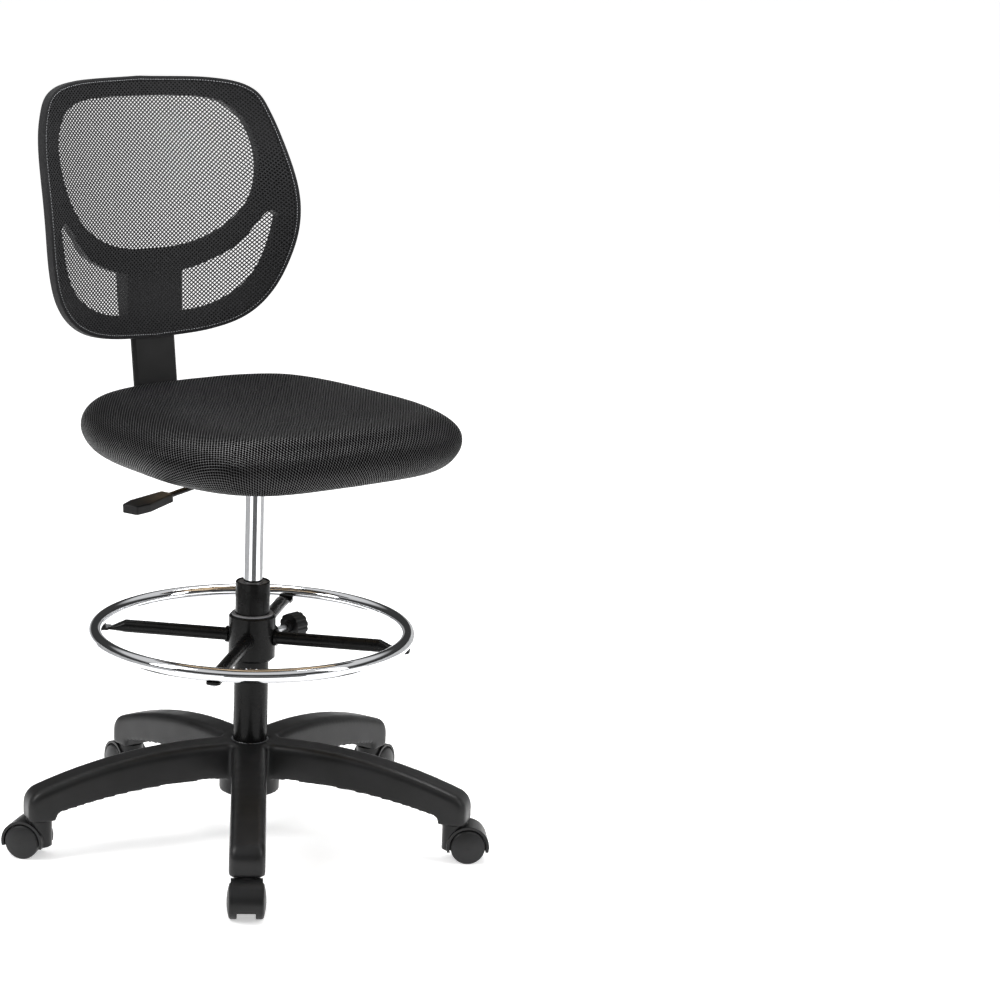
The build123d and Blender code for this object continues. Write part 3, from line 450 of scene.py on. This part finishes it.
def seat_mesh(cells):
    """The cover as one square patch of cloth drawn over the foam and hemmed under it."""
    line, run = seat_profile()
    side = np.linspace(-1, 1, cells + 1)
    a, b = np.meshgrid(side, side, indexing="xy")
    rim = np.maximum(np.abs(a), np.abs(b))
    angle = np.arctan2(b, a)
    mark = rim * run[-1]
    inset = np.interp(mark, run, line[:, 0])
    height = np.interp(mark, run, line[:, 1])
    reach = reach_at(angle)
    share = np.clip(1 - inset / SEAT_HALF_WIDTH, 0, 1)
    x, y = share * reach * np.cos(angle), share * reach * np.sin(angle)
    top = smoothstep(0.5, 0.9, height / line[:, 1].max())
    ahead, aside = -y / SEAT_HALF_DEPTH, np.abs(x) / SEAT_HALF_WIDTH
    dish = DISH * (1 - smoothstep(0.15, 0.82, aside)) * (1 - smoothstep(0.35, 0.80, ahead))
    dish = dish * smoothstep(-1.0, -0.25, ahead)
    trough = TROUGH * np.exp(-(((ahead - 0.50) / 0.16) ** 2)) * (1 - smoothstep(0.45, 0.85, aside))
    fall = FRONT_FALL * smoothstep(0.72, 1.0, ahead) - REAR_RISE * smoothstep(0.2, 0.9, -ahead)
    lip = FRONT_LIP * smoothstep(0.30, 0.85, ahead) * (1 - smoothstep(0.50, 0.95, aside))
    lip = lip * smoothstep(0.86, 0.93, share)
    z = height - top * (dish + trough + fall) - lip
    points = np.stack([x, y + SEAT_MIDDLE, z + SEAT_LOW], -1).reshape(-1, 3)
    laid = share * reach + mark - (line[0, 0] - inset)
    cloth = np.stack([laid * np.cos(angle), laid * np.sin(angle), 0 * mark], -1).reshape(-1, 3)
    mesh = mesh_from("seat_cushion", points, grid_faces(cells + 1, cells + 1))
    stored = mesh.attributes.new("cloth", "FLOAT_VECTOR", "POINT")
    stored.data.foreach_set("vector", cloth.astype(np.float32).ravel())
    return mesh, rim.ravel()


def inflate(thing, held, most):
    """Lets a covered pad swell under pressure, no further than most, with the held points fixed."""
    rest = np.array([v.co for v in thing.data.vertices])
    group = thing.vertex_groups.new(name="held")
    for index, weight in enumerate(held):
        if weight > 0:
            group.add([index], float(weight), "REPLACE")
    cloth = thing.modifiers.new("cloth", "CLOTH")
    cloth.settings.quality = 5
    cloth.settings.mass = 0.3
    cloth.settings.use_pressure = True
    cloth.settings.uniform_pressure_force = 4.0
    cloth.settings.tension_stiffness = 25
    cloth.settings.compression_stiffness = 25
    cloth.settings.bending_stiffness = 2.0
    cloth.settings.effector_weights.gravity = 0
    cloth.settings.vertex_group_mass = "held"
    cloth.collision_settings.use_collision = False
    cloth.point_cache.frame_start = 1
    cloth.point_cache.frame_end = SWELL_FRAMES
    for step in range(1, SWELL_FRAMES + 1):
        bpy.context.scene.frame_set(step)
    graph = bpy.context.evaluated_depsgraph_get()
    swollen = np.array([v.co for v in thing.evaluated_get(graph).data.vertices])
    bpy.context.scene.frame_set(1)
    thing.modifiers.clear()
    move = swollen - rest
    size = np.linalg.norm(move, axis=1, keepdims=True)
    move = move * np.tanh(size / most) * most / np.maximum(size, 1e-9)
    thing.data.vertices.foreach_set("co", (rest + move).astype(np.float32).ravel())
    thing.data.update()


def make_seat():
    mesh, rim = seat_mesh(SEAT_CELLS)
    seat = piece("seat_cushion", mesh, "seat", "seat_fabric")
    held = np.clip((rim - 0.80) / 0.08, 0, 1)
    inflate(seat, held, SWELL)
    seat.modifiers.new("fine", "SUBSURF").levels = 1
    seat.modifiers["fine"].render_levels = 1
    apply_modifiers(seat)
    hem = seat.modifiers.new("cloth_thickness", "SOLIDIFY")
    hem.thickness = COVER_THICKNESS
    hem.offset = -1
    apply_modifiers(seat)
    seat.data.shade_smooth()
    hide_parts("seat_cover", "seat_foam")


make_seat()


# ------------------------------------------------------------------ back
TILT = math.radians(8)
BACK_UP = np.array((0, math.sin(TILT), math.cos(TILT)))
BACK_FORWARD = np.array((0, -math.cos(TILT), math.sin(TILT)))
BACK_ORIGIN = np.array((0, 257.5, 704.0)) * MM
BACK_HALF_WIDTH = 219 * MM
BACK_HEIGHT = 387 * MM
BACK_CURVE_R = 400 * MM
LUMBAR_BULGE = 16 * MM
LUMBAR_HEIGHT = 183 * MM
LUMBAR_REACH = 150 * MM
BACK_SHARES = (
    (0, 0), (0.41, 0.015), (0.68, 0.062), (0.86, 0.16), (0.965, 0.31), (1, 0.475),
    (0.975, 0.66), (0.905, 0.835), (0.79, 0.94), (0.52, 0.985), (0, 1),
)


def on_back(u, v, depth):
    """A point of the curved back: u across, v up along it, depth behind its front surface."""
    u, v, depth = np.broadcast_arrays(*(np.asarray(value, float) for value in (u, v, depth)))
    phase = np.minimum(np.abs(v - LUMBAR_HEIGHT) / LUMBAR_REACH, 1)
    radius = BACK_CURVE_R - LUMBAR_BULGE * (1 + np.cos(math.pi * phase)) / 2 + depth
    ahead = BACK_CURVE_R - np.sqrt(radius**2 - u**2)
    along = np.multiply.outer(u, (1, 0, 0)) + np.multiply.outer(v, BACK_UP)
    return BACK_ORIGIN + along + np.multiply.outer(ahead, BACK_FORWARD)


def back_loop(inset):
    """The back's outline, drawn in by inset, as (u, v) points round it."""
    right = smooth_curve(BACK_SHARES, 300)
    loop = np.vstack([right, right[::-1][1:-1] * (-1, 1)])
    loop = loop * (BACK_HALF_WIDTH, BACK_HEIGHT)
    ahead = np.roll(loop, -2, axis=0) - np.roll(loop, 2, axis=0)
    ahead /= np.linalg.norm(ahead, axis=1, keepdims=True)
    inward = np.stack([-ahead[:, 1], ahead[:, 0]], 1)
    return loop + inset * inward


def inside(points, loop):
    """Which (u, v) points lie within a closed loop."""
    hit = np.zeros(len(points), bool)
    for (u0, v0), (u1, v1) in zip(loop, np.roll(loop, -1, axis=0)):
        if v0 == v1:
            continue
        crossing = (points[:, 1] >= min(v0, v1)) & (points[:, 1] < max(v0, v1))
        at = u0 + (points[:, 1] - v0) / (v1 - v0) * (u1 - u0)
        hit ^= crossing & (points[:, 0] < at)
    return hit


NET_HALF_ACROSS = 3.35 * MM
NET_HALF_ALONG = 3.0 * MM
NET_OPEN = 0.61  # share of each cell's width that is hole
NET_DEPTH = -0.95 * MM  # middle of the net, behind the back's front surface
NET_THREAD = 0.8 * MM
NET_EDGE = 3.4 * MM  # the net ends this far inside the back's outline
HOLES_EDGE = 4.6 * MM


def make_net():
    """A knitted net of diamond holes, stretched over the front of the frame."""
    loop = back_loop(NET_EDGE)
    columns = int(BACK_HALF_WIDTH / NET_HALF_ACROSS) + 2
    rows = int(BACK_HEIGHT / NET_HALF_ALONG) + 2
    centres = [
        (i * NET_HALF_ACROSS, j * NET_HALF_ALONG)
        for i in range(-columns, columns + 1)
        for j in range(0, rows)
        if (i + j) % 2
    ]
    centres = np.array(centres)
    centres = centres[inside(centres, back_loop(HOLES_EDGE))]
    index, points, faces = {}, [], []

    def knot(u, v):
        key = (round(u / NET_HALF_ACROSS), round(v / NET_HALF_ALONG))
        if key not in index:
            index[key] = len(points)
            points.append((u, v))
        return index[key]

    for u, v in centres:
        corners = [
            (u, v + NET_HALF_ALONG), (u + NET_HALF_ACROSS, v),
            (u, v - NET_HALF_ALONG), (u - NET_HALF_ACROSS, v),
        ]
        outer = [knot(*corner) for corner in corners]
        first = len(points)
        points += [(u + NET_OPEN * (p - u), v + NET_OPEN * (q - v)) for p, q in corners]
        for k in range(4):
            m = (k + 1) % 4
            faces.append((outer[k], first + k, first + m, outer[m]))
    flat = np.array(points)
    loop_points = loop[::2]
    stray = ~inside(flat, loop)
    if stray.any():
        gap = np.linalg.norm(flat[stray][:, None, :] - loop_points[None], axis=2)
        flat[stray] = loop_points[gap.argmin(1)]
    mesh = mesh_from("back_net_knit", on_back(flat[:, 0], flat[:, 1], NET_DEPTH), faces)
    net = piece("back_net_knit", mesh, "seat", "back_net", smooth=False)
    thick = net.modifiers.new("thread", "SOLIDIFY")
    thick.thickness = NET_THREAD
    thick.offset = 0
    apply_modifiers(net)
    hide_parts("back_net")


make_net()


def sweep_on_back(name, section, slot):
    """A closed section of (inset, depth) points run round the back's edge."""
    rings = []
    for inset, depth in section:
        loop = back_loop(inset)[::2]
        rings.append(on_back(loop[:, 0], loop[:, 1], depth))
    points = np.stack(rings, 1)
    faces = grid_faces(len(points), len(section), True, True)
    return piece(name, mesh_from(name, points.reshape(-1, 3), faces), "seat", slot)


BINDING_SECTION = (
    (7.2, -1.55), (7.4, -1.9), (6.9, -2.2), (4.0, -2.35), (1.4, -2.2), (0.3, -1.4), (-0.1, 0.5),
    (-0.1, 11.0), (0.4, 12.6), (1.6, 13.0), (2.8, 12.8), (2.9, 11.5), (2.9, 0.2), (3.2, -1.5),
)


def make_binding():
    """Woven tape folded over the edge of the net and frame."""
    section = np.array(BINDING_SECTION) * MM
    binding = sweep_on_back("back_binding", section, "edge_binding")
    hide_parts("back_piping")


make_binding()


def capsule(start, end, out, radius, lift, sides=6):
    """Points and faces of one short raised stitch or staple from start to end."""
    along = end - start
    length = np.linalg.norm(along)
    along = along / length
    across = np.cross(along, out)
    points = []
    marks = ((0.0, 0.35, -0.6), (0.18, 0.9, 0.2), (0.5, 1.0, 0.6), (0.82, 0.9, 0.2), (1.0, 0.35, -0.6))
    for share, size, rise in marks:
        middle = start + along * length * share + out * lift * rise
        for k in range(sides):
            a = 2 * math.pi * k / sides
            points.append(middle + radius * size * (math.cos(a) * across + math.sin(a) * out))
    last = (len(marks) - 1) * sides
    faces = grid_faces(len(marks), sides, False, True)
    faces.append(tuple(range(sides))[::-1])
    faces.append(tuple(last + k for k in range(sides)))
    return points, faces


def capsules(ends, radius, lift):
    """Points and faces of many capsules, each given as (start, end, out)."""
    points, faces = [], []
    for start, end, out in ends:
        more, tops = capsule(start, end, out, radius, lift)
        faces += [tuple(i + len(points) for i in face) for face in tops]
        points += more
    return points, faces


STITCH_INSET = 5.3 * MM
STITCH_PITCH = 4.2 * MM
STITCH_SHARE = 0.68  # of the pitch that shows as thread
STITCH_DEPTH = -2.3 * MM  # on the tape's face, in front of the back's surface
STITCH_R = 0.33 * MM
STITCH_LIFT = 0.25 * MM


def make_stitches():
    """A row of lockstitches along the tape."""
    line = even_steps(back_loop(STITCH_INSET), STITCH_PITCH, closed=True)
    ends = []
    for (u, v), (p, q) in zip(line, np.roll(line, -1, axis=0)):
        start = on_back(u, v, STITCH_DEPTH)
        end = on_back(u + STITCH_SHARE * (p - u), v + STITCH_SHARE * (q - v), STITCH_DEPTH)
        out = on_back(u, v, STITCH_DEPTH - 1 * MM) - start
        ends.append((start, end, out / np.linalg.norm(out)))
    mesh = mesh_from("back_stitches", *capsules(ends, STITCH_R, STITCH_LIFT))
    made = piece("back_stitches", mesh, "seat", "edge_binding")
    made.data.materials[0] = looks["stitches"]


make_stitches()

STAPLES = 44
STAPLE_INSET = 52 * MM
STAPLE_HALF = 5 * MM
STAPLE_R = 0.5 * MM
STAPLE_LIFT = 0.2 * MM


def make_staples():
    """Staples that hold the hem to the underside of the board."""
    down = np.array((0.0, 0.0, -1.0))
    ends = []
    for angle in np.linspace(0, 2 * math.pi, STAPLES, endpoint=False):
        reach = float(reach_at(angle)) * (1 - STAPLE_INSET / SEAT_HALF_WIDTH)
        middle = np.array((reach * math.cos(angle), reach * math.sin(angle) + SEAT_MIDDLE, SEAT_LOW))
        tilt = angle + math.pi / 2 + random.uniform(-0.2, 0.2)
        half = STAPLE_HALF * np.array((math.cos(tilt), math.sin(tilt), 0.0))
        ends.append((middle - half, middle + half, down))
    mesh = mesh_from("seat_staples", *capsules(ends, STAPLE_R, STAPLE_LIFT))
    piece("seat_staples", mesh, "seat", "bare_steel")


make_staples()


# ------------------------------------------------------------------ base
SKIN_CELL = 2.8 * MM
RELAX_STEPS = 6


def make_base():
    """The five-legged base with its corners rolled into the smooth blends of a moulding."""
    base = piece("star_base_moulding", nodes["star_base"].data.copy(), "base", "black_nylon")
    remesh = base.modifiers.new("skin", "REMESH")
    remesh.mode = "VOXEL"
    remesh.voxel_size = SKIN_CELL
    apply_modifiers(base)
    relax = base.modifiers.new("relax", "SMOOTH")
    relax.factor = 0.5
    relax.iterations = RELAX_STEPS
    apply_modifiers(base)
    base.data.materials.clear()
    base.data.materials.append(looks["black_nylon"])
    base.data.shade_smooth()
    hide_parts("star_base")


make_base()


# ------------------------------------------------------------------ foot ring
RING_ROUNDS = 256
RING_SIDES = 40


def make_ring():
    """The foot ring's plated tube as a fine torus."""
    low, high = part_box("foot_ring")
    tube = (high.z - low.z) / 2
    radius = high.x - tube
    level = (high.z + low.z) / 2
    points = []
    for i in range(RING_ROUNDS):
        a = 2 * math.pi * i / RING_ROUNDS
        for j in range(RING_SIDES):
            b = 2 * math.pi * j / RING_SIDES
            r = radius + tube * math.cos(b)
            points.append((r * math.cos(a), r * math.sin(a), level + tube * math.sin(b)))
    faces = grid_faces(RING_ROUNDS, RING_SIDES, True, True)
    ring = piece("foot_ring_tube", mesh_from("foot_ring_tube", points, faces), "foot_ring", "chrome")
    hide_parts("foot_ring")


make_ring()


# ------------------------------------------------------------------ studio
FLOOR_HALF = 30
LIGHT_TARGET = Vector((0, 0, 0.55))
FLAG_HEIGHT = 0.55
FLAG_DISTANCE = 1.2

# name, azimuth and elevation in degrees, distance, width, height, watts
LIGHTS = (
    ("key_light", -62, 38, 3.2, 0.9, 2.0, 60),
    ("fill_light", 68, 26, 3.4, 0.7, 2.2, 34),
    ("top_light", 160, 74, 3.0, 2.2, 1.2, 80),
)

# name, azimuth in degrees, width, shade
FLAGS = (
    ("flag_front", 14, 1.15, 0.10),
    ("flag_left", -82, 1.9, 0.34),
    ("flag_right", 128, 2.2, 0.42),
)

# height of a mirrored direction, from straight down at 0 to straight up at 1, and its brightness
REFLECTIONS = (
    (0.0, 0.5), (0.50, 0.5), (0.54, 0.45), (0.58, 0.04), (0.76, 0.05), (0.82, 0.70), (0.93, 0.75),
    (1.0, 0.35),
)


def square(half):
    return [(-half, -half, 0), (half, -half, 0), (half, half, 0), (-half, half, 0)]


def outward(azimuth):
    """Level direction out from the chair; azimuth is measured from the camera's side, to the right."""
    a = CAMERA_AZIMUTH + math.pi - math.radians(azimuth)
    return Vector((math.sin(a), math.cos(a), 0))


def make_floor():
    """White paper that lights up far enough to meet the white behind the chair."""
    mesh = mesh_from("floor", square(FLOOR_HALF), [(0, 1, 2, 3)])
    floor = bpy.data.objects.new("floor", mesh)
    bpy.context.scene.collection.objects.link(floor)
    paper = Surface("floor_paper", (0.92, 0.92, 0.92), 0.8, Emission_Strength=0.47)
    paper.shader.inputs["Emission Color"].default_value = (1, 1, 1, 1)
    paper.bump(paper.noise(300, 2.0), 0.05 * MM, 0.2)
    mesh.materials.append(paper.done())


def softbox(name, azimuth, elevation, distance, width, height, power):
    """A large soft light aimed at the chair."""
    e = math.radians(elevation)
    back = math.cos(e) * outward(azimuth) + Vector((0, 0, math.sin(e)))
    lamp = bpy.data.lights.new(name, "AREA")
    lamp.shape = "RECTANGLE"
    lamp.size = width
    lamp.size_y = height
    lamp.energy = power
    thing = bpy.data.objects.new(name, lamp)
    thing.location = LIGHT_TARGET + back * distance
    thing.rotation_mode = "QUATERNION"
    thing.rotation_quaternion = (-back).to_track_quat("-Z", "Y")
    bpy.context.scene.collection.objects.link(thing)


def flag(name, azimuth, width, shade):
    """A dark board standing on the floor that only mirrors see."""
    out = outward(azimuth)
    side = Vector((out.y, -out.x, 0)) * width / 2
    rise = Vector((0, 0, FLAG_HEIGHT))
    foot = out * FLAG_DISTANCE + Vector((0, 0, 2 * MM))
    corners = [foot - side, foot + side, foot + side + rise, foot - side + rise]
    board = bpy.data.objects.new(name, mesh_from(name, corners, [(0, 1, 2, 3)]))
    bpy.context.scene.collection.objects.link(board)
    paint = Surface(name, (shade, shade, shade), 0.9, Specular_IOR_Level=0.0)
    board.data.materials.append(paint.done())
    board.visible_camera = False
    board.visible_diffuse = False
    board.visible_shadow = False


def make_world():
    """White behind the chair, softer white as light, and light panels in a dark room for mirrors."""
    world = bpy.data.worlds.new("studio")
    world.use_nodes = True
    tree = world.node_tree
    path = tree.nodes.new("ShaderNodeLightPath").outputs

    def background(strength):
        made = tree.nodes.new("ShaderNodeBackground")
        made.inputs["Color"].default_value = (1, 1, 1, 1)
        made.inputs["Strength"].default_value = strength
        return made

    def either(rays, usual, special):
        mix = tree.nodes.new("ShaderNodeMixShader")
        tree.links.new(path[rays], mix.inputs[0])
        tree.links.new(usual.outputs[0], mix.inputs[1])
        tree.links.new(special.outputs[0], mix.inputs[2])
        return mix

    place = tree.nodes.new("ShaderNodeTexCoord")
    split = tree.nodes.new("ShaderNodeSeparateXYZ")
    half = tree.nodes.new("ShaderNodeMath")
    half.operation = "MULTIPLY_ADD"
    half.inputs[1].default_value = 0.5
    half.inputs[2].default_value = 0.5
    ramp = tree.nodes.new("ShaderNodeValToRGB")
    ends = zip(ramp.color_ramp.elements, (REFLECTIONS[0], REFLECTIONS[-1]))
    for element, (position, shade) in ends:
        element.position = position
        element.color = (shade, shade, shade, 1)
    for position, shade in REFLECTIONS[1:-1]:
        ramp.color_ramp.elements.new(position).color = (shade, shade, shade, 1)
    mirrored = background(1.0)
    tree.links.new(place.outputs["Generated"], split.inputs[0])
    tree.links.new(split.outputs[2], half.inputs[0])
    tree.links.new(half.outputs[0], ramp.inputs[0])
    tree.links.new(ramp.outputs[0], mirrored.inputs["Color"])
    plain = either("Is Camera Ray", background(0.6), background(1.0))
    mix = either("Is Glossy Ray", plain, mirrored)
    tree.links.new(mix.outputs[0], tree.nodes["World Output"].inputs["Surface"])
    bpy.context.scene.world = world


make_floor()
make_world()
for settings in FLAGS:
    flag(*settings)
for settings in LIGHTS:
    softbox(*settings)
bpy.context.scene.view_settings.view_transform = "Standard"
